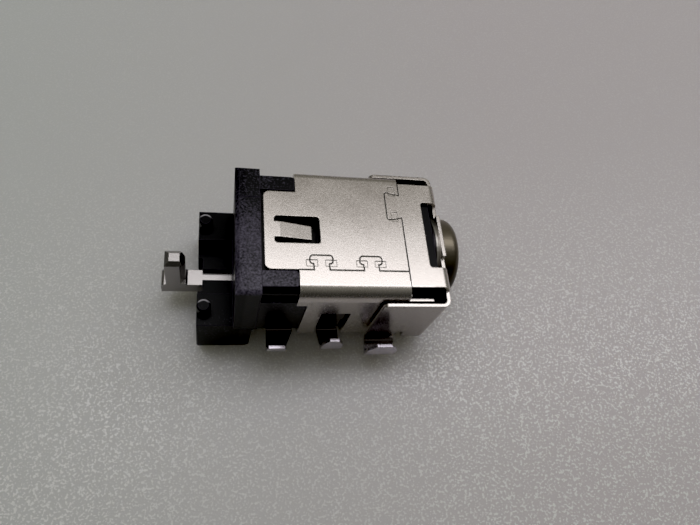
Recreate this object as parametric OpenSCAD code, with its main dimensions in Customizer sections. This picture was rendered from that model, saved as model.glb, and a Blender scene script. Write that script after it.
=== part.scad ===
// DC barrel jack for a sunk (board cut-out) mounting, board side up.
// +X points out of the socket along the plug's axis, +Z points to the board.
// The origin is on the plug's axis, at the outer face of the front plate.

/* [Plug] */
// Diameter of the centre pin
pin_d = 1.35; // [1.1:0.05:1.65]
// Bore that takes the barrel of the plug
socket_d = 4.2; // [3.8:0.05:4.4]
// Outside diameter of the nose ring
nose_d = 5.6; // [5.2:0.02:5.7]
// Length of the nose in front of the front plate
nose_len = 1.52; // [1.2:0.02:2.4]
// Depth of the socket behind the front plate
socket_depth = 8.2; // [7.4:0.1:8.4]
// How far the end of the centre pin lies behind the front plate
pin_back = 0.6; // [0.3:0.1:1.5]

/* [Shell] */
// Thickness of the folded sheet
sheet_t = 0.25; // [0.2:0.01:0.3]
// Width over the side walls
shell_w = 9.16; // [8.9:0.02:11]
// Height over the top and the bottom sheet
shell_h = 7.15; // [7:0.05:8.6]
// Drop from the top sheet to the plug's axis
axis_drop = 3.4; // [3.35:0.05:3.6]
// Length of the side walls, from the front plate back
shell_len = 10.05; // [9.9:0.05:12.1]
// Outside radius of the folds
bend_r = 0.56; // [0.44:0.02:0.6]
// Rear tongue of the top sheet past the side walls
tongue_len = 2.12; // [1.8:0.02:2.5]
// Width of the rear tongue
tongue_w = 5.7; // [4.8:0.1:5.8]
// Depth of the front strip, from the front plate to the front seam
strip_len = 2.83; // [2.4:0.01:3.2]
// Clearance of the seams between folded edges
seam_gap = 0.06; // [0.04:0.01:0.1]
// Gap between a side wall and the wing folded over it
wing_gap = 0.25; // [0.1:0.01:0.3]
// Length of the wings, from the front plate back
wing_len = 4.53; // [4.3:0.01:5.2]

/* [Spring tongue] */
// Length of the slot around the spring tongue
spring_len = 2.96; // [2.4:0.02:3.2]
// Width of the spring tongue at its root
spring_w = 1.13; // [0.9:0.01:1.3]
// Width of the slots beside the tongue
slot_w = 0.42; // [0.3:0.01:0.48]
// How far the free end is pressed inwards
spring_drop = 0.42; // [0.2:0.02:0.5]

/* [Board side] */
// Drop from the top sheet to the seat that rests on the board
seat_drop = 5.6; // [5.2:0.05:5.9]
// Height of the block under the seat
seat_h = 3.64; // [3.3:0.02:4.4]
// Thickness of the board that the tails are made for
board_t = 1; // [0.8:0.1:1.6]
// Diameter of the locating pegs
peg_d = 0.93; // [0.7:0.01:1.1]
// Distance between the locating pegs
peg_pitch = 6.6; // [5.5:0.1:7.4]
// Height of the locating pegs
peg_h = 0.85; // [0.5:0.05:1.4]
// Width over the bend of a front or rear tail, from the wall it leaves
tail_span = 1.37; // [1.2:0.01:2]
// Width over the bend of a middle tail
mid_tail_span = 1.72; // [1.4:0.02:2]

/* [Housing] */
// Thickness of the rear flange along the plug's axis
flange_t = 1.6; // [1.3:0.05:2]
// Length of the block behind the flange
block_back = 2.28; // [2:0.02:2.8]
// Clearance between the housing and the sheet around it
fit_gap = 0.05; // [0.02:0.01:0.1]

/* [Centre terminal] */
// Thickness of the terminal
term_t = 1.22; // [1:0.02:1.4]
// Height of its arm
arm_h = 1.17; // [1:0.01:1.3]
// Length of its post along the arm
post_l = 1.36; // [1:0.02:1.5]
// How far the arm reaches behind the block
arm_reach = 2.55; // [2.2:0.05:3.2]

/* [Spring contacts] */
// Thickness of the contact strip
contact_t = 0.25; // [0.15:0.01:0.3]
// Width of the springs
contact_w = 2.2; // [1.6:0.1:2.4]
// How far the springs reach into the socket
contact_bite = 0.2; // [0.1:0.05:0.4]

/* [Hidden] */
$fn = 48;
eps = 0.01;
far = 40;

// Heights from the plug's axis
top_z = axis_drop;
bottom_z = axis_drop - shell_h;
seat_z = top_z - seat_drop;
block_bottom = seat_z - seat_h;
tip_z = seat_z + board_t;
tail_low = seat_z - 1;

// Half widths from the mid-plane
half_w = shell_w / 2;
flat_w = half_w - bend_r;
strip_y = half_w - 0.63;
wing_y = half_w + wing_gap + sheet_t;
inner_r = bend_r - sheet_t;
core_y = half_w - sheet_t - fit_gap;

// Stations behind the front plate
wall_front = 1.06;
tongue_x = shell_len + tongue_len;
flange_x = tongue_x + 0.2;
flange_back = flange_x + flange_t;
block_front = flange_x - 0.2;
block_end = flange_back + block_back;
arm_end = block_end + arm_reach;

// Steps in the edges of the side walls
wall_step = 0.71;
wall_step_z = top_z - 1.77;
front_wall_z = top_z - 0.9;
cutout_x = [-8.2, -6.19];
cutout_z = top_z - 3.06;

// Locks of the near seam and of the front seam
lock_y = -flat_w + 1.17;
lock_xs = [-8.61, -5.36];
lock_head = 1.42;
lock_neck = 0.95;
lock_h = 1.0;
lock_head_h = 0.52;
dovetail_y = 2.1;
dovetail_len = 1.01;
dovetail_root = 1.69;
dovetail_end = 2.16;
dovetail_r = 0.13;
coin_l = 0.72;
coin_w = 0.45;
coin_depth = 0.05;

// Front plate, its window and its wings
window_w = 5;
window_back = 1.33;
crest_w = 3.14;
crest_drop = 0.12;
wing_top = top_z - 0.63;
wing_bottom = top_z - 6.15;
relief_w = 0.5;
relief_z = top_z - 5.44;

// Nose ring
neck_d = nose_d - 0.34;
hole_d = neck_d + 0.08;
ring_flange_d = nose_d + 0.42;
ring_flange_t = 0.35;
core_front = sheet_t + ring_flange_t + 0.07;

// Tails: width at the root, at the outer bend and at the tip, middle of the root, shift of the tip,
// height of the up-leg
front_tail = [2.15, 2.1, 1.25, -wing_len + 1.08, -0.13, tip_z - tail_low];
mid_tail = [1.5, 1.4, 0.85, (cutout_x[0] + cutout_x[1]) / 2 - 0.05, 0.15, tip_z - tail_low];
rear_tail = [1.8, 1.35, 1.3, -shell_len + wall_step - 1.31, -0.25, tip_z - tail_low - 1];

// Springs and their pockets
strip_mid = core_y - contact_t / 2;
touch_y = socket_d / 2 - contact_bite + contact_t / 2;
pocket_gap = 0.04;
root_room = 0.35;
spring_front = 2.2;
base_top = 1.7;
base_half = 1.15;

// Centre pin and terminal
shank_d = pin_d + 0.8;
stub_d = 0.7;
limb_back = flange_back - 0.57;
limb_front = limb_back - 1.1;
limb_top = shank_d / 2 + 0.6;
arm_top = seat_z - 1.87;

// Housing outside the shell
ear_y = half_w - 0.05;
ear_low = top_z - 5.9;
ear_high = top_z - 1.4;
flange_top = top_z + 0.15;
channel_z = seat_z - 1.4;
slot_open = 0.84;

// --- helpers ---

module rounded_rect(w, h, r) {
    square([w - 2 * r, h], center = true);
    square([w, h - 2 * r], center = true);
    for (sx = [-1, 1], sy = [-1, 1])
        translate([sx * (w / 2 - r), sy * (h / 2 - r)])
            circle(r);
}

// A quarter of a ring round the origin, in the corner (sx, sy)
module quarter_ring(r_out, t, sx, sy) {
    intersection() {
        difference() {
            circle(r_out);
            circle(r_out - t);
        }
        translate([sx > 0 ? 0 : -r_out, sy > 0 ? 0 : -r_out])
            square(r_out);
    }
}

// Straight strip of thickness t from p to q, with round ends
module strip(p, q, t) {
    run = q - p;
    translate(p) {
        circle(d = t);
        rotate(atan2(run[1], run[0]))
            translate([0, -t / 2])
                square([norm(run), t]);
    }
    translate(q)
        circle(d = t);
}

// Extrudes a shape drawn in (Y, Z) from x0 to x1
module along_x(x0, x1) {
    translate([x0, 0, 0])
        rotate([90, 0, 90])
            linear_extrude(x1 - x0)
                children();
}

// Extrudes a shape drawn in (X, Z) from y0 to y1
module along_y(y0, y1) {
    translate([0, y1, 0])
        rotate([90, 0, 0])
            linear_extrude(y1 - y0)
                children();
}

// Extrudes a shape drawn in (X, Y) from z0 to z1
module along_z(z0, z1) {
    translate([0, 0, z0])
        linear_extrude(z1 - z0)
            children();
}

// Turns a shape drawn in (radius, X) round the plug's axis
module turned() {
    rotate([0, 90, 0])
        rotate_extrude()
            children();
}

module box(x0, x1, y0, y1, z0, z1) {
    translate([x0, y0, z0])
        cube([x1 - x0, y1 - y0, z1 - z0]);
}

module both_sides() {
    children();
    mirror([0, 1, 0])
        children();
}

// --- tails ---

// Section of a tail: down from z_top, round the foot, and up to the tip
module tail_section(y_wall, y_out, z_top, z_tip, t) {
    r = 0.55;
    foot = tail_low + r;
    translate([y_wall - t, foot])
        square([t, z_top - foot]);
    translate([y_wall - t + r, foot])
        quarter_ring(r, t, -1, -1);
    translate([y_wall - t + r - eps, tail_low])
        square([y_out - y_wall + t - 2 * r + 2 * eps, t]);
    translate([y_out - r, foot])
        quarter_ring(r, t, 1, -1);
    translate([y_out - t, foot])
        square([t, z_tip - foot]);
}

// A tail on the far side that leaves the wall y_wall, narrows, and rises again at y_out
module tail(size, y_wall, y_out, z_top, t) {
    root = size[0] / 2;
    bend = size[1] / 2;
    tip = size[2] / 2;
    mid = size[3];
    tip_mid = mid + size[4];
    z_tip = tail_low + size[5];
    wide = root + 1;
    difference() {
        along_x(mid - wide, mid + wide)
            tail_section(y_wall, y_out, z_top, z_tip, t);
        for (s = [-1, 1]) {
            along_z(-far, far)
                polygon([
                    [mid + s * root, y_wall - 1],
                    [mid + s * root, y_wall + 0.3],
                    [tip_mid + s * bend, y_out - 0.3],
                    [tip_mid + s * bend, y_out + 1],
                    [mid + s * 2 * wide, y_out + 1],
                    [mid + s * 2 * wide, y_wall - 1],
                ]);
            along_y(y_out - t - eps, y_out + eps)
                polygon([
                    [tip_mid + s * bend, z_tip - 0.75],
                    [tip_mid + s * tip, z_tip - 0.2],
                    [tip_mid + s * (tip - 0.1), z_tip + eps],
                    [mid + s * 2 * wide, z_tip + eps],
                    [mid + s * 2 * wide, z_tip - 0.75],
                ]);
        }
    }
}

// --- shell ---

// Outline of one lock of the near seam, grown by g
module lock(g) {
    translate([0, lock_h - lock_head_h / 2])
        rounded_rect(lock_head + 2 * g, lock_head_h + 2 * g, 0.18 + g);
    translate([-lock_neck / 2 - g, -2 * seam_gap])
        square([lock_neck + 2 * g, lock_h - lock_head_h / 2 + 2 * seam_gap]);
}

// Outline of the dovetail that locks the front strip, with round corners, grown by g
module dovetail(g) {
    flank = atan((dovetail_end - dovetail_root) / 2 / dovetail_len);
    corner_y = dovetail_end / 2 - dovetail_r / tan(45 - flank / 2);
    corner_x = -strip_len - dovetail_len + dovetail_r;
    root_x = -strip_len + 2 * seam_gap;
    r = dovetail_r + g;
    translate([0, dovetail_y]) {
        for (s = [-1, 1]) {
            translate([corner_x, s * corner_y])
                circle(r);
            polygon([
                [root_x, 0],
                [corner_x - r, 0],
                [corner_x - r, s * corner_y],
                [corner_x + r * sin(flank), s * (corner_y + r * cos(flank))],
                [root_x, s * (dovetail_root / 2 + g)],
            ]);
        }
    }
}

// The near seam runs along the top sheet and steps round the locks
module near_seam() {
    difference() {
        union() {
            translate([-shell_len - eps, lock_y - seam_gap / 2])
                square([shell_len - strip_len + 2 * eps, seam_gap]);
            for (x = lock_xs)
                translate([x, lock_y])
                    lock(seam_gap);
        }
        for (x = lock_xs)
            translate([x, lock_y])
                lock(0);
        translate([-shell_len, lock_y - seam_gap / 2 - 1])
            square([shell_len, 1]);
    }
}

// The front seam crosses the top sheet and steps round the dovetail
module front_seam() {
    difference() {
        union() {
            translate([-strip_len - seam_gap / 2, -half_w - eps])
                square([seam_gap, shell_w + 2 * eps]);
            dovetail(seam_gap);
        }
        dovetail(0);
        translate([-strip_len + seam_gap / 2, -half_w])
            square([1, shell_w]);
    }
}

// Shallow marks where the metal was struck to spread it into the locks
module coin_marks() {
    for (x = lock_xs, s = [-1, 1])
        translate([x + s * (lock_neck / 2 + 0.14) - coin_l / 2, lock_y + 0.25])
            square([coin_l, coin_w]);
    for (y = [dovetail_y - dovetail_root / 2, dovetail_y + dovetail_root / 2 + 0.35])
        translate([-strip_len - dovetail_len / 2 - coin_w / 2, y - coin_l / 2])
            square([coin_w, coin_l]);
}

// U-shaped slot that frees the spring tongue
module spring_slot() {
    r = slot_w / 2;
    half = spring_w / 2 + slot_w;
    difference() {
        rounded_u(-tongue_x + 0.65, spring_len, half, r);
        translate([-tongue_x + 0.65 - eps, -spring_w / 2])
            square([0.42, spring_w]);
    }
}

module rounded_u(x0, len, half, r) {
    translate([x0 + len / 2, 0])
        rounded_rect(len, 2 * half, r);
}

// Tongue bent inwards from its root
module spring_tongue() {
    root = 0.4;
    len = spring_len - slot_w - root;
    angle = asin(spring_drop / len);
    translate([-tongue_x + 0.65 + root - 0.02, 0, top_z])
        rotate([0, angle, 0])
            along_z(-sheet_t, 0)
                polygon([
                    [-0.02, -spring_w / 2],
                    [len, -spring_w / 2 + 0.06],
                    [len, spring_w / 2 - 0.06],
                    [-0.02, spring_w / 2],
                ]);
}

// Wrapped part: the bottom, the side walls and the top up to the front seam
module can() {
    mid_z = (top_z + bottom_z) / 2;
    difference() {
        along_x(-shell_len, -wall_front)
            translate([0, mid_z])
                difference() {
                    rounded_rect(shell_w, shell_h, bend_r);
                    rounded_rect(shell_w - 2 * sheet_t, shell_h - 2 * sheet_t, inner_r);
                }
        box(-strip_len + seam_gap / 2, 0, -far, far, front_wall_z, far);
        box(-far, -shell_len + wall_step, -far, far, -far, wall_step_z);
        both_sides()
            box(cutout_x[0], cutout_x[1], flat_w, far, -far, cutout_z);
    }
    box(-wall_front - eps, -bend_r, -strip_y, strip_y, bottom_z, bottom_z + sheet_t);
}

// Top sheet behind the side walls
module rear_tongue() {
    r = 0.42;
    along_z(top_z - sheet_t, top_z) {
        translate([-tongue_x + 1, 0])
            rounded_rect(2, tongue_w, r);
        translate([-tongue_x + 1, -tongue_w / 2])
            square([tongue_len - 1 + eps, tongue_w]);
    }
}

// Plate across the front, with the fold at its foot and the crest in the window
module front_plate() {
    along_x(-sheet_t, 0)
        difference() {
            union() {
                translate([-strip_y, bottom_z + bend_r])
                    square([2 * strip_y, shell_h - 2 * bend_r]);
                translate([-wing_y + bend_r, wing_bottom])
                    square([2 * (wing_y - bend_r), wing_top - wing_bottom]);
                translate([-crest_w / 2, 0])
                    square([crest_w, top_z - crest_drop]);
            }
            circle(d = hole_d);
        }
    along_y(-strip_y, strip_y)
        translate([-bend_r, bottom_z + bend_r])
            quarter_ring(bend_r, sheet_t, 1, -1);
}

// Strip that the front plate folds back over the top, with its window
module front_strip() {
    difference() {
        union() {
            along_z(top_z - sheet_t, top_z) {
                translate([-strip_len + seam_gap / 2, -strip_y])
                    square([strip_len - seam_gap / 2 - bend_r, 2 * strip_y]);
                dovetail(0);
            }
            along_y(-strip_y, strip_y)
                translate([-bend_r, top_z - bend_r])
                    quarter_ring(bend_r, sheet_t, 1, 1);
        }
        along_z(top_z - bend_r, far)
            translate([-window_back / 2, 0]) {
                rounded_rect(window_back, window_w, 0.2);
                translate([0, -window_w / 2])
                    square([far, window_w]);
            }
    }
}

// Wing folded back over the far side wall, with the front tail
module wing() {
    r = 0.35;
    tail_front = front_tail[3] + front_tail[0] / 2;
    foot_x = tail_front + relief_w;
    along_z(wing_bottom, wing_top)
        translate([-bend_r, wing_y - bend_r])
            quarter_ring(bend_r, sheet_t, 1, 1);
    along_y(wing_y - sheet_t, wing_y)
        difference() {
            union() {
                translate([-wing_len + r, wing_top - r])
                    circle(r);
                translate([-wing_len + r, wing_top - r - eps])
                    square([wing_len - r - bend_r, r + eps]);
                translate([-wing_len, relief_z])
                    square([wing_len - bend_r, wing_top - r - relief_z]);
                translate([foot_x, wing_bottom])
                    square([-bend_r - foot_x, relief_z - wing_bottom + eps]);
            }
            translate([tail_front + relief_w / 2, relief_z])
                circle(d = relief_w);
        }
    tail(front_tail, wing_y, wing_y + tail_span, relief_z + eps, sheet_t);
}

module shell() {
    color("silver") {
        difference() {
            union() {
                can();
                rear_tongue();
            }
            along_z(top_z - sheet_t - eps, far) {
                near_seam();
                front_seam();
                spring_slot();
            }
            along_z(top_z - coin_depth, far)
                coin_marks();
        }
        spring_tongue();
        front_plate();
        difference() {
            front_strip();
            along_z(top_z - coin_depth, far)
                coin_marks();
        }
        both_sides()
            wing();
    }
}

// --- nose ring ---

// Turned ring staked in the front plate: a flange behind it, a neck in its hole, and a round lip
module nose_ring() {
    wall = (nose_d - socket_d) / 2;
    mouth = 0.12;
    color("dimgray")
        turned()
            difference() {
                union() {
                    translate([socket_d / 2, -sheet_t - ring_flange_t])
                        square([(ring_flange_d - socket_d) / 2, ring_flange_t]);
                    translate([socket_d / 2, -sheet_t - eps])
                        square([(neck_d - socket_d) / 2, sheet_t + 2 * eps]);
                    translate([socket_d / 2, 0])
                        square([wall, nose_len - wall]);
                    translate([socket_d / 2, nose_len - wall])
                        intersection() {
                            circle(wall);
                            square(wall);
                        }
                }
                polygon([
                    [socket_d / 2 - eps, nose_len - mouth],
                    [socket_d / 2, nose_len - mouth],
                    [socket_d / 2 + mouth, nose_len + eps],
                    [socket_d / 2 - eps, nose_len + eps],
                ]);
            }
}

// --- housing ---

// Core inside the shell
module core() {
    core_top = top_z - sheet_t - fit_gap;
    core_low = bottom_z + sheet_t + fit_gap;
    along_x(-flange_x - eps, -core_front)
        translate([0, (core_top + core_low) / 2])
            rounded_rect(2 * core_y, core_top - core_low, inner_r);
}

// Far ear, flush with the side wall and stepped round its rear edge
module ear() {
    wall_back = shell_len - wall_step + fit_gap;
    along_y(core_y - inner_r, ear_y)
        polygon([
            [-flange_x - eps, ear_low],
            [-wall_back, ear_low],
            [-wall_back, wall_step_z - fit_gap],
            [-shell_len - fit_gap, wall_step_z - fit_gap],
            [-shell_len - fit_gap, ear_high],
            [-flange_x - eps, ear_high],
        ]);
}

// Far bar beside the rear tongue, level with the top sheet
module bar() {
    r = 0.2;
    y0 = tongue_w / 2 + 0.1;
    w = flat_w - y0;
    x1 = -shell_len - fit_gap;
    along_z(top_z - bend_r - 0.4, top_z) {
        translate([x1 - 1, y0 + w / 2])
            rounded_rect(2, w, r);
        translate([-flange_x - eps, y0])
            square([flange_x + x1 - 1, w]);
    }
}

// Flange across the back of the shell, with a bevelled and slightly sloping rear face
module flange() {
    bevel = 0.25;
    slope = 0.17;
    foot = seat_z - 0.3;
    intersection() {
        along_x(-flange_back, -flange_x)
            union() {
                translate([0, (flange_top + foot) / 2])
                    rounded_rect(shell_w, flange_top - foot, 0.3);
                translate([-ear_y, foot])
                    square([2 * ear_y, 1]);
            }
        along_y(-far, far)
            polygon([
                [-flange_back, flange_top - bevel],
                [-flange_back + bevel, flange_top],
                [-flange_x, flange_top],
                [-flange_x, foot],
                [-flange_back + slope, foot],
            ]);
    }
}

// Block below the flange: its top is the seat on the board
module block() {
    draft = 0.15;
    top_y = half_w - 0.15;
    corner = 0.2;
    difference() {
        intersection() {
            along_x(-block_end, -block_front)
                polygon([
                    [-top_y, seat_z],
                    [-top_y - draft, block_bottom],
                    [top_y + draft, block_bottom],
                    [top_y, seat_z],
                ]);
            along_y(-far, far)
                polygon([
                    [-block_end, block_bottom],
                    [-block_end, seat_z],
                    [-block_front, seat_z],
                    [-block_front, ear_low - 0.3],
                    [-block_front - 0.35, ear_low - 0.5],
                    [-block_front - 0.4, block_bottom + 0.25],
                    [-block_front - 0.65, block_bottom],
                ]);
            along_z(-far, far)
                translate([-block_end + 5, 0])
                    rounded_rect(10, 2 * top_y + 2 * draft, corner);
        }
        // sloping channel down to the lips over the terminal's arm
        along_x(-far, -flange_back + 0.1)
            polygon([
                [-2.1, seat_z + eps],
                [-1.6, channel_z],
                [1.6, channel_z],
                [2.1, seat_z + eps],
            ]);
        box(-far, -block_end + 0.33, -1.3, 1.3, -far, far);
        box(-far, -flange_back + 0.1, -slot_open / 2, slot_open / 2, arm_top - eps, far);
    }
}

module peg() {
    translate([-block_end + peg_d / 2, peg_pitch / 2, seat_z - eps]) {
        cylinder(d = peg_d, h = peg_h + eps - 0.1);
        translate([0, 0, peg_h + eps - 0.1])
            cylinder(d1 = peg_d, d2 = peg_d - 0.2, h = 0.1);
    }
}

// Hollows of the housing: the socket, the springs' windows and pockets, the terminal's slot
module hollows() {
    term_y = term_t / 2 + fit_gap;
    base_x = mid_tail[3];
    rear_half = rear_tail[0] / 2 + pocket_gap;
    pocket_y = core_y - contact_t - pocket_gap;
    rotate([0, 90, 0]) {
        translate([0, 0, -socket_depth])
            cylinder(d = socket_d + 0.1, h = socket_depth);
        translate([0, 0, -limb_front - eps])
            cylinder(d = shank_d + 0.04, h = limb_front - socket_depth + 2 * eps);
    }
    both_sides() {
        box(rear_tail[3] + rear_half - root_room, -spring_front + 0.6, socket_d / 2 - 0.5, core_y + pocket_gap,
            -contact_w / 2 - pocket_gap, contact_w / 2 + pocket_gap);
        box(base_x - base_half - pocket_gap, base_x + base_half + pocket_gap, pocket_y, far, -far,
            base_top + pocket_gap);
        box(rear_tail[3] - rear_half, rear_tail[3] + rear_half, pocket_y, core_y + pocket_gap, -far,
            contact_w / 2 + pocket_gap);
    }
    box(-limb_back - fit_gap, -limb_front + fit_gap, -term_y, term_y, -far, limb_top + fit_gap);
    box(-far, -limb_front + fit_gap, -term_y, term_y, -far, arm_top + fit_gap);
    box(-tongue_x + 0.5, -tongue_x + 0.65 + spring_len, -spring_w / 2 - slot_w, spring_w / 2 + slot_w,
        top_z - sheet_t - spring_drop - 0.3, top_z - 0.1);
}

// Witness line that an insert of the mould leaves across the flange's top
module insert_line() {
    line = 0.05;
    box(-flange_back - eps, -flange_x + eps, 2.2, 2.2 + line, flange_top - line, far);
}

module housing() {
    color("#1c1b20")
        difference() {
            union() {
                core();
                flange();
                block();
                both_sides() {
                    ear();
                    bar();
                    peg();
                }
            }
            hollows();
        insert_line();
        }
}

// --- centre pin and its terminal ---

// Turned pin: a rounded end, the pin, a thicker shank and a stub riveted into the terminal
module centre_pin() {
    r = 0.3;
    straight = socket_depth - pin_back - r;
    color("silver")
        turned() {
            translate([0, -pin_back - r])
                intersection() {
                    union() {
                        translate([pin_d / 2 - r, 0])
                            circle(r);
                        translate([0, -r])
                            square([pin_d / 2 - r, 2 * r]);
                    }
                    square(pin_d);
                }
            translate([0, -socket_depth - eps])
                square([pin_d / 2, straight + 2 * eps]);
            translate([0, -limb_front])
                square([shank_d / 2, limb_front - socket_depth]);
            translate([0, -limb_back])
                square([stub_d / 2, limb_back - limb_front + eps]);
        }
}

// Post of the terminal, chamfered round its top and down its front edges, with a fillet at its foot
module post(x0, z0, z1) {
    chamfer = 0.3;
    front = 0.36;
    fillet = 0.16;
    x1 = x0 + post_l;
    difference() {
        along_y(-term_t / 2, term_t / 2) {
            polygon([
                [x0, z0],
                [x0, z1 - chamfer],
                [x0 + chamfer, z1],
                [x1 - front, z1],
                [x1, z1 - front],
                [x1, z0],
            ]);
            difference() {
                translate([x1 - eps, z0])
                    square([fillet + eps, arm_top + fillet - z0]);
                translate([x1 + fillet, arm_top + fillet])
                    circle(fillet);
            }
        }
        for (s = [-1, 1]) {
            translate([x0 + post_l / 2, s * term_t / 2, z1])
                rotate([45, 0, 0])
                    cube([2 * post_l, chamfer * sqrt(2), chamfer * sqrt(2)], center = true);
            translate([x1, s * term_t / 2, arm_top + fillet + 3])
                rotate([0, 0, 45])
                    cube([front * sqrt(2), front * sqrt(2), 6], center = true);
        }
    }
}

// Blanked terminal: a limb for the pin's stub, an arm back through the block, and a post
module centre_terminal() {
    shoulder = 0.3;
    foot = arm_top - arm_h;
    color("gainsboro") {
        difference() {
            along_y(-term_t / 2, term_t / 2) {
                translate([-limb_back, foot])
                    square([limb_back - limb_front, limb_top - foot]);
                translate([-arm_end + shoulder, foot])
                    square([arm_end - shoulder - limb_back + eps, arm_h]);
                translate([-arm_end + shoulder, arm_top - shoulder])
                    circle(shoulder);
                translate([-arm_end, foot])
                    square([shoulder + eps, arm_h - shoulder]);
            }
            rotate([0, 90, 0])
                translate([0, 0, -limb_back - eps])
                    cylinder(d = stub_d + 0.02, h = limb_back - limb_front + 2 * eps);
        }
        post(-arm_end + 0.36, arm_top - 0.3, tip_z + 0.3);
    }
}

// --- spring contacts ---

// Spring bent from the plate at x0 in to the socket at x1, with a flared end
module spring_arm(x0, x1, flare) {
    along_z(-contact_w / 2, contact_w / 2) {
        strip([x0, strip_mid], [x1, touch_y], contact_t);
        strip([x1, touch_y], [x1 + flare, touch_y + flare * 0.6], contact_t);
    }
}

// Contact that presses on the middle of the plug's barrel, with the middle tail
module barrel_contact() {
    x = mid_tail[3];
    color("silver") {
        box(x - base_half, x + base_half, core_y - contact_t, core_y, cutout_z - 1.84, base_top);
        spring_arm(x + base_half - 0.1, -spring_front - 1.2, 0.9);
        tail(mid_tail, core_y, core_y + mid_tail_span, cutout_z - 1.83, contact_t);
    }
}

// Contact that presses on the end of the plug's barrel, with the rear tail
module rear_contact() {
    x = rear_tail[3];
    half = rear_tail[0] / 2;
    color("silver") {
        box(x - half, x + half, core_y - contact_t, core_y, tail_low + 0.54, contact_w / 2);
        spring_arm(x + half - 0.1, -socket_depth + 0.7, 0.5);
        tail(rear_tail, core_y, core_y + 0.45 + tail_span, tail_low + 1, contact_t);
    }
}

module near_barrel_contact() {
    mirror([0, 1, 0])
        barrel_contact();
}

module far_barrel_contact() {
    barrel_contact();
}

module near_rear_contact() {
    mirror([0, 1, 0])
        rear_contact();
}

module far_rear_contact() {
    rear_contact();
}

shell();
nose_ring();
housing();
centre_pin();
centre_terminal();
near_barrel_contact();
far_barrel_contact();
near_rear_contact();
far_rear_contact();
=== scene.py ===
"""Looks of a sunk-mount DC power jack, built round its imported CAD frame."""

import math

import bpy
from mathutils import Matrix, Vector


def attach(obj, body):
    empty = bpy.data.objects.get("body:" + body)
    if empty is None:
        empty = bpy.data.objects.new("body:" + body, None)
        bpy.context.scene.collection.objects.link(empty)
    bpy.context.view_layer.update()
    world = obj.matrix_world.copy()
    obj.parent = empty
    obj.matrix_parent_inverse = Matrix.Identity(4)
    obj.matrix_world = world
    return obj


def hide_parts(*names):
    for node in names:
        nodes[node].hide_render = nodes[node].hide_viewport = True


MM = 0.001
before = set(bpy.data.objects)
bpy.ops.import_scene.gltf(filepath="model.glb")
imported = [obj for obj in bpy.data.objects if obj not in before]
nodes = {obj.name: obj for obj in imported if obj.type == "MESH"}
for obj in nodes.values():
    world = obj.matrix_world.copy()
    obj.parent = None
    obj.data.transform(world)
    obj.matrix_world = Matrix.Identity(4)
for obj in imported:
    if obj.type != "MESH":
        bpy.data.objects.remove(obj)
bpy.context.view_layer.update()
bpy.ops.object.select_all(action="DESELECT")


# --- Folded shell ---
# One blank of nickel-plated steel sheet, 0.25 mm thick, pressed, folded and locked
# round the plastic core. Its faces are satin from the rolls, its sheared edges bright.


def finished(node, smooth_below):
    """A CAD node's piece, its surface joined up and smooth over bends under so many degrees."""
    piece = nodes[node].copy()
    piece.data = nodes[node].data.copy()
    piece.name = "finished_" + node
    bpy.context.scene.collection.objects.link(piece)
    bpy.context.view_layer.objects.active = piece
    piece.select_set(True)
    bpy.ops.mesh.customdata_custom_splitnormals_clear()
    bpy.ops.object.mode_set(mode="EDIT")
    bpy.ops.mesh.select_all(action="SELECT")
    bpy.ops.mesh.remove_doubles(threshold=0.0005 * MM)
    bpy.ops.mesh.normals_make_consistent(inside=False)
    bpy.ops.object.mode_set(mode="OBJECT")
    bpy.ops.object.shade_smooth_by_angle(angle=math.radians(smooth_below))
    bpy.ops.object.modifier_add(type="WEIGHTED_NORMAL")
    piece.modifiers[-1].keep_sharp = True
    bpy.ops.object.modifier_apply(modifier=piece.modifiers[-1].name)
    piece.select_set(False)
    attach(piece, "root")
    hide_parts(node)
    return piece


def clothe(piece, material):
    piece.data.materials.clear()
    piece.data.materials.append(material)


def new_material(name, metallic):
    material = bpy.data.materials.new(name)
    material.use_nodes = True
    shader = material.node_tree.nodes["Principled BSDF"]
    shader.inputs["Metallic"].default_value = metallic
    return material, shader


def feed(tree, socket, value):
    """Link a node's output into a socket, or set the socket to a plain value."""
    if isinstance(value, bpy.types.NodeSocket):
        tree.links.new(value, socket)
    elif socket.type == "RGBA":
        socket.default_value = (*value, 1)
    else:
        socket.default_value = value


def add_node(tree, kind, **values):
    """A new node. Each keyword is one of its settings, or an input to set or link."""
    node = tree.nodes.new(kind)
    for key, value in values.items():
        if hasattr(node, key):
            setattr(node, key, value)
        else:
            feed(tree, node.inputs[key.replace("_", " ")], value)
    return node


def compute(tree, operation, *values, **settings):
    """A math node's result."""
    node = add_node(tree, "ShaderNodeMath", operation=operation, **settings)
    for socket, value in zip(node.inputs, values):
        feed(tree, socket, value)
    return node.outputs["Value"]


def compute_vector(tree, operation, *vectors):
    """A vector math node's result."""
    node = add_node(tree, "ShaderNodeVectorMath", operation=operation)
    for socket, vector in zip(node.inputs, vectors):
        feed(tree, socket, vector)
    return node.outputs["Value" if operation in ("DOT_PRODUCT", "LENGTH") else "Vector"]


def blend(tree, kind, factor, first, second, how="MIX"):
    """Two floats, vectors or colours, mixed by a factor."""
    first_input, output = {"FLOAT": (2, 0), "VECTOR": (4, 1), "RGBA": (6, 2)}[kind]
    node = add_node(tree, "ShaderNodeMix", data_type=kind, Factor=factor)
    if kind == "RGBA":
        node.blend_type = how
    feed(tree, node.inputs[first_input], first)
    feed(tree, node.inputs[first_input + 1], second)
    return node.outputs[output]


def fade(tree, value, start, end):
    """0 to 1 while a value goes from start to end, and held beyond them."""
    node = add_node(tree, "ShaderNodeMapRange", Value=value, From_Min=start, From_Max=end)
    return node.outputs["Result"]


def between(tree, low, high, mask):
    """low where a mask is 0, high where it is 1."""
    return compute(tree, "MULTIPLY_ADD", mask, high - low, low)


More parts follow.
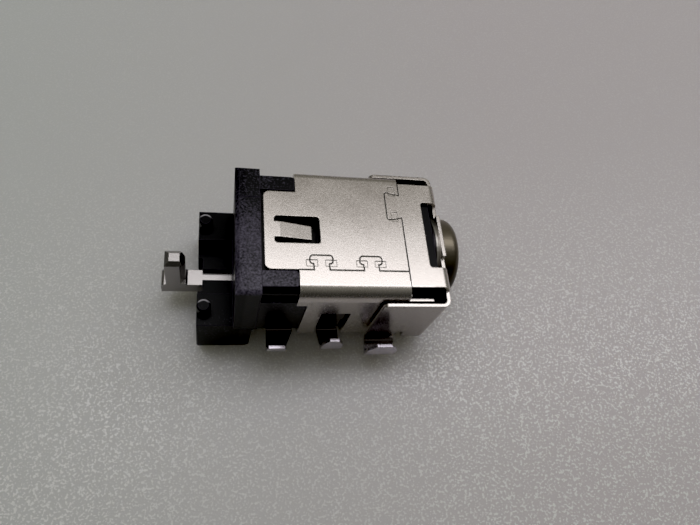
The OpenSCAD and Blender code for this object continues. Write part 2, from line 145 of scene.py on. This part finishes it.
def overlap(tree, first, *others):
    """What several masks share."""
    for mask in others:
        first = compute(tree, "MULTIPLY", first, mask)
    return first


def new_group(name, inputs, outputs):
    """An empty shader group, with the sockets of its inputs and outputs."""
    group = bpy.data.node_groups.new(name, "ShaderNodeTree")
    for label, value in inputs.items():
        kind = {float: "Float", tuple: "Color", Vector: "Vector"}[type(value)]
        socket = group.interface.new_socket(label, in_out="INPUT", socket_type="NodeSocket" + kind)
        socket.default_value = (*value, 1) if kind == "Color" else value
    for label, kind in outputs.items():
        group.interface.new_socket(label, in_out="OUTPUT", socket_type="NodeSocket" + kind)
    given = group.nodes.new("NodeGroupInput").outputs
    result = group.nodes.new("NodeGroupOutput").inputs
    return group, given, result


def edge_group():
    """Edge: 1 where a sharp edge is rubbed and 0 on faces. Normal: turned gently over edges."""
    group, given, result = new_group(
        "eased_edges", {"Radius": 0.05 * MM, "Breakup": 0.5}, {"Edge": "Float", "Normal": "Vector"}
    )
    eased = add_node(group, "ShaderNodeBevel", samples=6, Radius=given["Radius"]).outputs["Normal"]
    flat = add_node(group, "ShaderNodeNewGeometry").outputs["True Normal"]
    edge_starts, edge_full = 0.995, 0.93
    turned = compute_vector(group, "DOT_PRODUCT", eased, flat)
    edge = fade(group, turned, edge_starts, edge_full)
    place = add_node(group, "ShaderNodeTexCoord").outputs["Object"]
    patchy = add_node(group, "ShaderNodeTexNoise", Vector=place, Scale=900.0, Detail=3.0)
    missing = compute(group, "MULTIPLY", patchy.outputs["Fac"], given["Breakup"])
    feed(group, result["Edge"], compute(group, "SUBTRACT", edge, missing, use_clamp=True))
    feed(group, result["Normal"], eased)
    return group


def grain_group():
    """Colour, roughness and height of a finely grained surface, from two sizes of noise."""
    group, given, result = new_group(
        "surface_grain",
        {
            "Light": (0.7, 0.7, 0.7),
            "Dark": (0.5, 0.5, 0.5),
            "Patch Scale": 200.0,
            "Grain Scale": 7000.0,
            "Contrast": 1.0,
            "Lift": 0.0,
            "Rough Low": 0.3,
            "Rough High": 0.4,
        },
        {"Color": "Color", "Roughness": "Float", "Height": "Float"},
    )
    place = add_node(group, "ShaderNodeTexCoord").outputs["Object"]
    patch, grain = (
        add_node(
            group,
            "ShaderNodeTexNoise",
            Vector=place,
            Scale=given[scale],
            Detail=detail,
            Roughness=roughness,
        ).outputs["Fac"]
        for scale, detail, roughness in (("Patch Scale", 4.0, 0.55), ("Grain Scale", 2.0, 0.6))
    )
    middle = 0.5
    swing = compute(group, "SUBTRACT", blend(group, "FLOAT", 0.5, patch, grain), middle)
    level = compute(group, "ADD", given["Lift"], middle)
    amount = compute(group, "MULTIPLY_ADD", swing, given["Contrast"], level, use_clamp=True)
    rough = add_node(
        group,
        "ShaderNodeMapRange",
        Value=amount,
        To_Min=given["Rough Low"],
        To_Max=given["Rough High"],
    )
    feed(group, result["Color"], blend(group, "RGBA", amount, given["Dark"], given["Light"]))
    feed(group, result["Roughness"], rough.outputs["Result"])
    feed(group, result["Height"], grain)
    return group


def ramp_group():
    """Mask: 0 to 1 along a direction, from start to end. Mirrored: the same both ways."""
    group, given, result = new_group(
        "ramp_along",
        {"Direction": Vector((1, 0, 0)), "Start": 0.0, "End": 1.0},
        {"Mask": "Float", "Mirrored": "Float"},
    )
    place = add_node(group, "ShaderNodeTexCoord").outputs["Object"]
    reach = compute_vector(group, "DOT_PRODUCT", place, given["Direction"])
    for label, distance in (("Mask", reach), ("Mirrored", compute(group, "ABSOLUTE", reach))):
        feed(group, result[label], fade(group, distance, given["Start"], given["End"]))
    return group


EDGES = edge_group()
GRAIN = grain_group()
RAMP = ramp_group()

# Out of the socket, across to the far side, and up to the board's side.
OUT = (1, 0, 0)
ACROSS = (0, 1, 0)
UP = (0, 0, 1)


def ramp(tree, direction, span, output="Mask"):
    """A mask from 0 to 1 along a direction, over a span given in millimetres."""
    node = add_node(
        tree,
        "ShaderNodeGroup",
        node_tree=RAMP,
        Direction=direction,
        Start=span[0] * MM,
        End=span[1] * MM,
    )
    return node.outputs[output]


def on_both_sides(tree, span):
    """A mask from 0 to 1 over a span to either side of the jack's middle."""
    return ramp(tree, ACROSS, span, output="Mirrored")


def plated(name, metallic, light, dark, rough, grain_height, edge_colour, edge_radius, **more):
    """A metal or plastic with grain, patchy colour and edges of another colour."""
    material, shader = new_material(name, metallic)
    tree = material.node_tree
    grain = add_node(
        tree,
        "ShaderNodeGroup",
        node_tree=GRAIN,
        name="grain",
        Light=light,
        Dark=dark,
        Rough_Low=rough[0],
        Rough_High=rough[1],
        **more,
    ).outputs
    edges = add_node(tree, "ShaderNodeGroup", node_tree=EDGES, Radius=edge_radius).outputs
    bump = add_node(
        tree,
        "ShaderNodeBump",
        name="bump",
        Strength=1.0,
        Distance=grain_height,
        Height=grain["Height"],
        Normal=edges["Normal"],
    )
    colour = blend(tree, "RGBA", edges["Edge"], grain["Color"], edge_colour)
    feed(tree, shader.inputs["Base Color"], colour)
    feed(tree, shader.inputs["Roughness"], grain["Roughness"])
    feed(tree, shader.inputs["Normal"], bump.outputs["Normal"])
    return material


def paint(material, mask, colour, how="MIX"):
    """Lay another colour over a material's own colour where a mask is 1."""
    tree = material.node_tree
    base = tree.nodes["Principled BSDF"].inputs["Base Color"]
    feed(tree, base, blend(tree, "RGBA", mask, base.links[0].from_socket, colour, how))


nickel = plated(
    "satin_nickel",
    metallic=1.0,
    light=(0.70, 0.66, 0.635),
    dark=(0.50, 0.46, 0.435),
    rough=(0.20, 0.32),
    grain_height=0.0022 * MM,
    edge_colour=(0.92, 0.89, 0.88),
    edge_radius=0.08 * MM,
    Grain_Scale=11000.0,
    Contrast=2.4,
)
sheet = nickel.node_tree

# Painted shade: the plating is darkened and browned a little towards the far side.
FAR_HALF = (-0.5, 3.4)
FAR_SHADE_TINT = (0.80, 0.78, 0.76)
far_shade_mask = between(sheet, 0.0, 0.6, ramp(sheet, ACROSS, FAR_HALF))
paint(nickel, far_shade_mask, FAR_SHADE_TINT, "MULTIPLY")

# Painted light on the tails: painted shade where they leave the wings, and a painted highlight at
# their tips.
TAIL_ROOT = (5.00, 5.25)
TAIL_TIP = (5.55, 5.75)
PAINTED_TAIL_SHADE = (0.11, 0.095, 0.10)
PAINTED_TAIL_HIGHLIGHT = (0.60, 0.56, 0.63)
paint(nickel, on_both_sides(sheet, TAIL_ROOT), PAINTED_TAIL_SHADE)
paint(nickel, on_both_sides(sheet, TAIL_TIP), PAINTED_TAIL_HIGHLIGHT)

# Painted shade: the rear of each wing is darkened, from a little under its top edge down,
# behind a line that leans back towards the board.
LEANING = (1, 0, 0.295)
BEHIND_LINE = (-3.44, -3.54)
UNDER_TOP = (2.5, 1.7)
WING_INSIDE = (4.90, 5.00)
WING_OUTSIDE = (5.30, 5.15)
PAINTED_WING_SHADE = (0.10, 0.08, 0.085)
painted_wing_shade_mask = overlap(
    sheet,
    ramp(sheet, LEANING, BEHIND_LINE),
    ramp(sheet, UP, UNDER_TOP),
    on_both_sides(sheet, WING_OUTSIDE),
    between(sheet, 0.0, 0.9, on_both_sides(sheet, WING_INSIDE)),
)
# Lays the painted shade on the wings.
paint(nickel, painted_wing_shade_mask, PAINTED_WING_SHADE)

# The press has rolled the near bend of the top sheet wide and soft, so its normals turn
# slowly, from 0.75 mm in on the top to 1.2 mm down the wall. The front strip isn't rolled.
ROLL_ACROSS = (-3.83, -4.58)
ROLL_UP = (2.20, 3.40)
OUTSIDE_TOP = (-3.52, -3.53)
INSIDE_WING = (-4.88, -4.87)
BEHIND_STRIP = (-1.15, -1.25)
FACING_ALIKE = (0.70, 0.85)
outwards = compute(sheet, "MULTIPLY", ramp(sheet, ACROSS, ROLL_ACROSS), -1.0)
turning = add_node(sheet, "ShaderNodeCombineXYZ", Y=outwards, Z=ramp(sheet, UP, ROLL_UP))
rolled = compute_vector(sheet, "NORMALIZE", turning.outputs["Vector"])
flat = add_node(sheet, "ShaderNodeNewGeometry").outputs["True Normal"]
on_bend = overlap(
    sheet,
    fade(sheet, compute_vector(sheet, "DOT_PRODUCT", rolled, flat), *FACING_ALIKE),
    ramp(sheet, ACROSS, OUTSIDE_TOP),
    ramp(sheet, ACROSS, INSIDE_WING),
    ramp(sheet, OUT, BEHIND_STRIP),
)
grain_normal = sheet.nodes["bump"].inputs["Normal"]
eased = grain_normal.links[0].from_socket
feed(sheet, grain_normal, blend(sheet, "VECTOR", on_bend, eased, rolled))
clothe(finished("shell", smooth_below=28), nickel)


# --- Nose ring ---
# A turned ring of dull grey-brown metal, clamped behind the front plate. The lip is
# rolled round, and the skin is finely grained.

dull_nose = plated(
    "turned_nose",
    metallic=1.0,
    light=(0.28, 0.245, 0.185),
    dark=(0.15, 0.13, 0.105),
    rough=(0.28, 0.42),
    grain_height=0.006 * MM,
    edge_colour=(0.5, 0.46, 0.4),
    edge_radius=0.05 * MM,
)
turned = dull_nose.node_tree

# Painted shade: the ring is darkened towards its near side.
NEAR_TO_MIDDLE = (-2.5, 0.0)
painted_nose_shade = between(turned, 0.22, 0.95, ramp(turned, ACROSS, NEAR_TO_MIDDLE))
paint(dull_nose, 1.0, painted_nose_shade, "MULTIPLY")

# Its flange, clamped behind the plate, is painted pale in front as painted light, and black behind
# as painted shade.
FLANGE_FRONT = (-0.05, -0.12)
FLANGE_BACK = (-0.38, -0.44)
PAINTED_FLANGE_LIGHT = (0.62, 0.60, 0.57)
PAINTED_FLANGE_SHADE = (0.03, 0.028, 0.03)
paint(dull_nose, ramp(turned, OUT, FLANGE_FRONT), PAINTED_FLANGE_LIGHT)
paint(dull_nose, ramp(turned, OUT, FLANGE_BACK), PAINTED_FLANGE_SHADE)
clothe(finished("nose_ring", smooth_below=40), dull_nose)


# --- Plastic housing ---
# Black glass-filled nylon, moulded in one piece. The tool's spark-eroded skin sparkles
# finely, with painted sheen on its tops, and the arrises are a little rounded.

black_nylon = plated(
    "black_nylon",
    metallic=0.0,
    light=(0.135, 0.123, 0.170),
    dark=(0.003, 0.003, 0.004),
    rough=(0.34, 0.16),
    grain_height=0.004 * MM,
    edge_colour=(0.080, 0.072, 0.10),
    edge_radius=0.08 * MM,
    Grain_Scale=7000.0,
    Contrast=5.0,
)
nylon = black_nylon.node_tree
nylon_shader = nylon.nodes["Principled BSDF"]

# Painted sheen: only the top of the flange and bars is lightened and sparkles, and more so towards
# the near side.
FLANGE_TOP = (3.15, 3.35)
FAR_TO_NEAR = (1.0, -4.5)
painted_sheen_tops = between(nylon, -1.0, 0.0, ramp(nylon, UP, FLANGE_TOP))
painted_sheen_nearer = between(nylon, -0.58, 0.26, ramp(nylon, ACROSS, FAR_TO_NEAR))
feed(nylon, nylon.nodes["grain"].inputs["Lift"], compute(nylon, "ADD", painted_sheen_tops, painted_sheen_nearer))

# The rear block has less gloss than the flange and the core.
BLOCK_STARTS = -13.4 * MM
FLANGE_ENDS = -13.2 * MM
spot = add_node(nylon, "ShaderNodeTexCoord").outputs["Object"]
place = add_node(nylon, "ShaderNodeSeparateXYZ", Vector=spot).outputs
gloss = between(nylon, 0.11, 0.16, fade(nylon, place["X"], BLOCK_STARTS, FLANGE_ENDS))
feed(nylon, nylon_shader.inputs["Specular IOR Level"], gloss)

# Painted highlight: a pale arc on the far side of each peg's top edge stands in for a glint.
# Each peg is measured from its own axis, because the distance across wraps at the jack's middle.
PEG_X = -15.785 * MM
PEG_Y = 3.3 * MM
PEG_TOP = (-1.60, -1.45)
PEG_CHAMFER = (0.30 * MM, 0.35 * MM)
PEG_OUTSIDE = (0.52 * MM, 0.48 * MM)
FAR_ARC = (0.16 * MM, 0.30 * MM)
PAINTED_PEG_GLINT = (0.55, 0.53, 0.58)
along = compute(nylon, "SUBTRACT", place["X"], PEG_X)
across = compute(nylon, "WRAP", compute(nylon, "ADD", place["Y"], PEG_Y), PEG_Y, -PEG_Y)
from_axis = add_node(nylon, "ShaderNodeCombineXYZ", X=along, Y=across).outputs["Vector"]
radius = compute_vector(nylon, "LENGTH", from_axis)
# Mask of the painted highlight on the pegs.
rubbed = overlap(
    nylon,
    fade(nylon, radius, *PEG_CHAMFER),
    fade(nylon, radius, *PEG_OUTSIDE),
    fade(nylon, across, *FAR_ARC),
    ramp(nylon, UP, PEG_TOP),
)
paint(black_nylon, rubbed, PAINTED_PEG_GLINT)
clothe(finished("housing", smooth_below=28), black_nylon)


# --- Centre pin ---
# A turned, nickel-plated brass pin, riveted into the terminal behind. It stands in the
# middle of the socket.

pin_plate = plated(
    "pin_plate",
    metallic=1.0,
    light=(0.80, 0.74, 0.60),
    dark=(0.62, 0.56, 0.44),
    rough=(0.18, 0.30),
    grain_height=0.001 * MM,
    edge_colour=(0.9, 0.85, 0.7),
    edge_radius=0.03 * MM,
)
clothe(finished("centre_pin", smooth_below=40), pin_plate)


# --- Centre terminal ---
# Blanked from thick brass strip and tinned: bright on top, dull on the blanked sides. It
# is pressed into the back of the core, and its post goes through the board.

bright_tin = plated(
    "bright_tin",
    metallic=1.0,
    light=(0.41, 0.395, 0.395),
    dark=(0.32, 0.30, 0.29),
    rough=(0.20, 0.30),
    grain_height=0.0015 * MM,
    edge_colour=(0.92, 0.91, 0.88),
    edge_radius=0.05 * MM,
)
clothe(finished("centre_terminal", smooth_below=28), bright_tin)


# --- Spring contacts ---
# Four contacts of tinned bronze strip, pushed into pockets in the core. Their feet come
# out through the sides and turn up as solder tails.

strip_tin = plated(
    "strip_tin",
    metallic=1.0,
    light=(0.64, 0.60, 0.68),
    dark=(0.42, 0.39, 0.43),
    rough=(0.10, 0.20),
    grain_height=0.002 * MM,
    edge_colour=(0.75, 0.72, 0.78),
    edge_radius=0.05 * MM,
)

# Painted shade: the contacts are darkened everywhere but at the tails' tips.
TIP_TO_ROOT = (5.9, 5.3)
PAINTED_CONTACT_SHADE = (0.09, 0.08, 0.085)
paint(strip_tin, on_both_sides(strip_tin.node_tree, TIP_TO_ROOT), PAINTED_CONTACT_SHADE)
for end in ("barrel", "rear"):
    for side in ("near", "far"):
        contact = finished(f"{side}_{end}_contact", smooth_below=28)
        clothe(contact, strip_tin)


# --- Floor, light and camera ---
# The jack lies on a pale table, on the foot of its block and the fold under its front
# plate, so the table slopes in the jack's own frame.

rest_back = Vector((-12.6, 0, -5.86)) * MM
rest_front = Vector((-0.3, 0, -3.78)) * MM
TABLE_SIDE = 1.2
slope = math.atan2(rest_front.z - rest_back.z, rest_front.x - rest_back.x)
bpy.ops.mesh.primitive_plane_add(size=TABLE_SIDE, location=rest_back, rotation=(0, -slope, 0))
floor = bpy.context.object
floor.name = "floor"
bpy.ops.object.transform_apply(location=True, rotation=True, scale=True)

table, table_shader = new_material("pale_table", 0.0)
paper = table.node_tree
REAR_TO_FRONT = (-35, 10)
GREENISH = (0.71, 0.73, 0.715)
PINKISH = (0.71, 0.665, 0.68)
tint = blend(paper, "RGBA", ramp(paper, OUT, REAR_TO_FRONT), GREENISH, PINKISH)

# Its skin is pimpled. The pimples' tops are painted pale as painted glints, and made glossier,
# most of all on the near side and away from the jack's middle.
MIDDLE_X = -10 * MM
ASIDE = (2 * MM, 13 * MM)
FAR_TO_NEAR_SIDE = (12 * MM, -14 * MM)
TOPS = (0.55, 0.62)
PAINTED_GLINT_PALE = (1.0, 1.0, 0.99)
spot = add_node(paper, "ShaderNodeTexCoord").outputs["Object"]
place = add_node(paper, "ShaderNodeSeparateXYZ", Vector=spot).outputs
pimples = add_node(
    paper, "ShaderNodeTexNoise", Vector=spot, Scale=6200.0, Detail=1.0, Roughness=0.6
).outputs["Fac"]
aside = compute(paper, "ABSOLUTE", compute(paper, "SUBTRACT", place["X"], MIDDLE_X))
glints_painted_and_glossy = overlap(
    paper,
    fade(paper, pimples, *TOPS),
    between(paper, 0.5, 1.0, fade(paper, aside, *ASIDE)),
    between(paper, 0.12, 1.0, fade(paper, place["Y"], *FAR_TO_NEAR_SIDE)),
)
swell = add_node(
    paper, "ShaderNodeBump", Strength=1.0, Distance=0.008 * MM, Height=pimples
).outputs["Normal"]
# The base colour carries the painted glints.
for socket, value in {
    "Base Color": blend(paper, "RGBA", glints_painted_and_glossy, tint, PAINTED_GLINT_PALE),
    "Roughness": between(paper, 0.40, 0.18, glints_painted_and_glossy),
    "Specular IOR Level": between(paper, 0.45, 1.0, glints_painted_and_glossy),
    "Normal": swell,
    "Subsurface Weight": 0.85,
    "Subsurface Radius": (1.0, 0.95, 0.7),
    "Subsurface Scale": 4.5 * MM,
}.items():
    feed(paper, table_shader.inputs[socket], value)
table_shader.subsurface_method = "BURLEY"
clothe(floor, table)

# One long ceiling light hangs beyond the jack and shines straight down.
tube = bpy.data.lights.new("overhead", "AREA")
tube.shape = "RECTANGLE"
tube.size = 360 * MM
tube.size_y = 79 * MM
tube.energy = 0.200
tube.color = (0.98, 0.97, 1.0)
overhead = bpy.data.objects.new("overhead", tube)
bpy.context.scene.collection.objects.link(overhead)
overhead.location = Vector((20, 63.5, 200)) * MM

# The room is dim and warm, brightest above and beyond the jack.
world = bpy.data.worlds.new("studio")
bpy.context.scene.world = world
world.use_nodes = True
room = world.node_tree
BRIGHTEST_WAY = (0.1, 0.5, 0.86)
gaze = add_node(room, "ShaderNodeTexCoord").outputs["Generated"]
above = fade(room, compute_vector(room, "DOT_PRODUCT", gaze, BRIGHTEST_WAY), 0.0, 1.0)
sky = room.nodes["Background"]
feed(room, sky.inputs["Strength"], between(room, 0.042, 0.28, above))
feed(room, sky.inputs["Color"], (1.0, 0.99, 0.86))

lens = bpy.data.cameras.new("camera")
lens.sensor_width = 36
lens.lens = 29.83
lens.clip_start = 1 * MM
camera = bpy.data.objects.new("camera", lens)
bpy.context.scene.collection.objects.link(camera)
camera.location = Vector((-15.6, -18.55, 35.4)) * MM
camera.rotation_euler = [math.radians(turn) for turn in (27.35, -12.89, -5.17)]
bpy.context.scene.camera = camera

# Deep shadows sink to black.
view = bpy.context.scene.view_settings
view.view_transform = "Standard"
view.use_curve_mapping = True
view.curve_mapping.black_level = (0.007, 0.007, 0.007)
view.curve_mapping.update()
